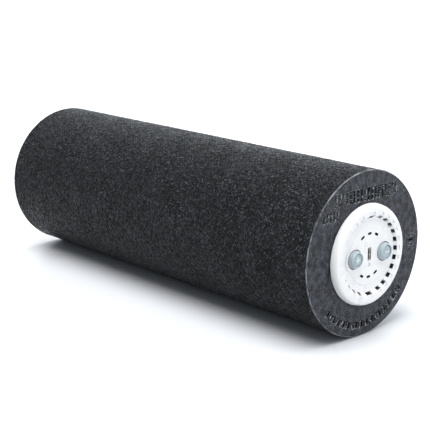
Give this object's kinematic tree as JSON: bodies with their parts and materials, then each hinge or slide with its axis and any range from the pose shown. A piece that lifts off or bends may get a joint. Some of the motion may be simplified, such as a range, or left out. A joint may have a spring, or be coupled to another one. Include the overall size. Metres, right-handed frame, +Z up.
{
  "type": "vibrating foam roller",
  "caption": "Slim massage roller: a hollow foam cylinder with a removable vibration core, whose round vented control head shows at one end.",
  "frame": {"origin": "on the roller's axis, halfway along its overall length", "axes": "+X along the roller, out of the control head; +Z up as the roller lies on its side; the minus button is at +Y and the plus button at -Y"},
  "size_m": [0.2984, 0.0998, 0.0998],
  "materials": {
    "foam": "matte",
    "white_plastic": "satin",
    "black_plastic": "satin",
    "button_silicone": "satin",
    "grip_silicone": "matte",
    "clear_lens": "gloss",
    "circuit_board": "satin",
    "steel": "satin",
    "nickel": "satin",
    "gold": "polished",
    "copper": "satin",
    "brass": "satin",
    "ferrite": "matte",
    "cell_wrap": "satin",
    "red_wire": "satin",
    "black_wire": "satin"
  },
  "bodies": {
    "sleeve": {"foam_sleeve": "foam"},
    "core": {"head_cover": "white_plastic", "core_shell_upper": "white_plastic", "core_shell_lower": "white_plastic", "tail_cap": "white_plastic", "front_bulkhead": "black_plastic", "plus_switch": "black_plastic", "minus_switch": "black_plastic", "port_tongue": "black_plastic", "battery_tray_upper": "black_plastic", "battery_tray_lower": "black_plastic", "motor_end_cap": "black_plastic", "motor_mount_front": "black_plastic", "motor_mount_rear": "black_plastic", "grip_ring_front": "grip_silicone", "grip_ring_middle": "grip_silicone", "grip_ring_rear": "grip_silicone", "charge_light": "clear_lens", "control_board": "circuit_board", "board_screw_upper": "steel", "board_screw_lower": "steel", "head_screw_upper": "steel", "head_screw_lower": "steel", "shell_screw_front": "steel", "shell_screw_middle": "steel", "shell_screw_rear": "steel", "tail_screw_upper": "steel", "tail_screw_lower": "steel", "motor_can": "steel", "port_shell": "nickel", "cell_link": "nickel", "cell_tab_left": "nickel", "cell_tab_right": "nickel", "port_contacts": "gold", "bearing_front": "brass", "bearing_rear": "brass", "magnet_left": "ferrite", "magnet_right": "ferrite", "battery_cell_left": "cell_wrap", "battery_cell_right": "cell_wrap", "battery_lead_red": "red_wire", "motor_lead_red": "red_wire", "battery_lead_black": "black_wire", "motor_lead_black": "black_wire"},
    "plus_key": {"plus_button": "button_silicone", "plus_switch_plunger": "white_plastic"},
    "minus_key": {"minus_button": "button_silicone", "minus_switch_plunger": "white_plastic"},
    "rotor": {"motor_shaft": "steel", "armature": "steel", "commutator": "copper", "weight_front": "brass", "weight_rear": "brass"}
  },
  "joints": [
    {"name": "core_slide", "type": "slide", "parent": "sleeve", "child": "core", "axis": [1, 0, 0], "range_m": [0, 0.3]},
    {"name": "plus_press", "type": "slide", "parent": "core", "child": "plus_key", "axis": [-1, 0, 0], "range_m": [0, 0.0008], "stiffness_N_per_m": 1500},
    {"name": "minus_press", "type": "slide", "parent": "core", "child": "minus_key", "axis": [-1, 0, 0], "range_m": [0, 0.0008], "stiffness_N_per_m": 1500},
    {"name": "rotor_spin", "type": "hinge", "parent": "core", "child": "rotor", "pos_m": [-0.0417, 0, 0], "axis": [1, 0, 0], "continuous": true}
  ]
}
